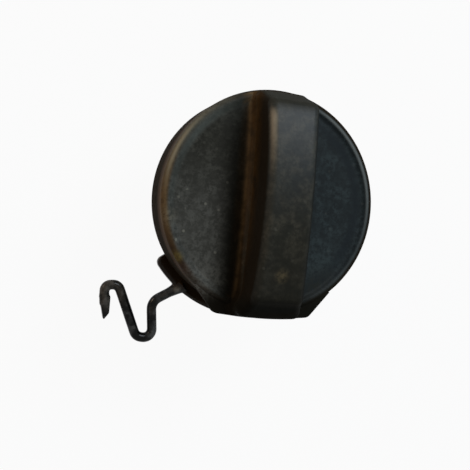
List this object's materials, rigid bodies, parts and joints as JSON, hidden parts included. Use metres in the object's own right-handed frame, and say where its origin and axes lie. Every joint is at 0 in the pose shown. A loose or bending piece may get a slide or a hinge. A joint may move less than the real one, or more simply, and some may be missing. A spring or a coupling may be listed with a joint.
{
  "type": "fuel filler cap",
  "caption": "Round screw-in fuel filler cap with a bar grip, click-type ratchet drive, pressure and vacuum valves, and a moulded tether ending in a hook.",
  "frame": {"origin": "centre of the main seal's lower face, which seats on the filler neck", "axes": "+Z along the cap's axis, out of the tank towards the grip; +Y along the grip bar"},
  "size_m": [0.095, 0.0945, 0.073],
  "materials": {
    "cover_plastic": "moulded black plastic, fine texture, dusty",
    "inner_plastic": "plain black moulded nylon",
    "drive_plastic": "natural acetal, off white",
    "tether_plastic": "glossy black moulded plastic",
    "seal_rubber": "smooth black rubber",
    "slip_plastic": "white low-friction plastic",
    "valve_plastic": "grey acetal",
    "spring_steel": "bright spring steel wire",
    "plate_metal": "zinc-plated steel"
  },
  "bodies": {
    "closure": {"closure_body": "inner_plastic", "main_seal": "seal_rubber", "slip_washer": "slip_plastic", "valve_cage": "valve_plastic", "cage_o_ring": "seal_rubber", "spring_cup": "valve_plastic", "pressure_spring": "spring_steel", "splash_baffle": "valve_plastic"},
    "cover": {"grip_cover": "cover_plastic", "cover_retainer": "inner_plastic", "drive_ring": "drive_plastic"},
    "tether": {"tether": "tether_plastic"},
    "pressure_valve": {"pressure_plate": "plate_metal", "pressure_gasket": "seal_rubber", "vacuum_spring": "spring_steel"},
    "vacuum_valve": {"vacuum_poppet": "valve_plastic", "vacuum_keeper": "plate_metal"}
  },
  "joints": [
    {"name": "cover_turn", "type": "hinge", "parent": "closure", "child": "cover", "pos_m": [0, 0, 0.0146], "axis": [0, 0, 1], "continuous": true},
    {"name": "tether_swivel", "type": "hinge", "parent": "closure", "child": "tether", "pos_m": [0, 0, 0.0061], "axis": [0, 0, 1], "continuous": true},
    {"name": "pressure_lift", "type": "slide", "parent": "closure", "child": "pressure_valve", "axis": [0, 0, 1], "range_m": [0, 0.002], "stiffness_N_per_m": 600, "springref_m": -0.0042, "deforming": ["pressure_spring"]},
    {"name": "vacuum_drop", "type": "slide", "parent": "pressure_valve", "child": "vacuum_valve", "axis": [0, 0, -1], "range_m": [0, 0.0015], "stiffness_N_per_m": 80, "springref_m": -0.003, "deforming": ["vacuum_spring"]}
  ]
}
